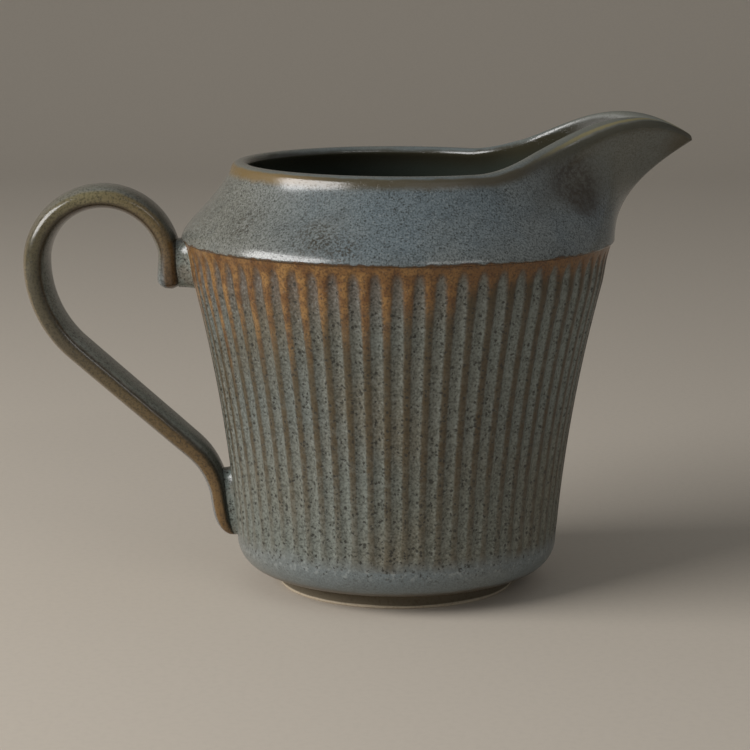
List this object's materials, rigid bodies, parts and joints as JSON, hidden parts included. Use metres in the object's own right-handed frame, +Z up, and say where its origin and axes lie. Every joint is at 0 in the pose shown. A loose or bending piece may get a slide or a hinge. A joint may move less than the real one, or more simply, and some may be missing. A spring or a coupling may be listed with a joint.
{
  "type": "pitcher",
  "caption": "Fluted stoneware pitcher with a flared wall, sloping collar, beak spout, looped strap handle and a bare foot ring; glazed blue-grey over brown ridges, for pouring drinks.",
  "frame": {"origin": "on the axis of the body at the level of the table, in the plane of the foot ring's standing face", "axes": "+Z up along the axis of the body, +X towards the tip of the spout, handle towards -X"},
  "size_m": [0.1851, 0.12, 0.132],
  "materials": {
    "bare_clay": "unglazed stoneware, matt, browned on its sides and pale where the pot stood in the kiln",
    "body_glaze": "grey-blue stoneware glaze with fine dark iron specks, breaking brown at edges",
    "flute_glaze": "glaze pooled blue-grey in the flutes and thin olive-brown on the ridges, rusty under the shoulder edge",
    "handle_glaze": "iron-brown glaze on the edges, pooled grey-blue on the flat faces and at the joins"
  },
  "bodies": {
    "root": {"foot_ring": "bare_clay", "base_dish": "body_glaze", "fluted_wall": "flute_glaze", "collar": "body_glaze", "spout": "body_glaze", "handle": "handle_glaze", "upper_join": "handle_glaze", "lower_join": "handle_glaze"}
  },
  "joints": []
}
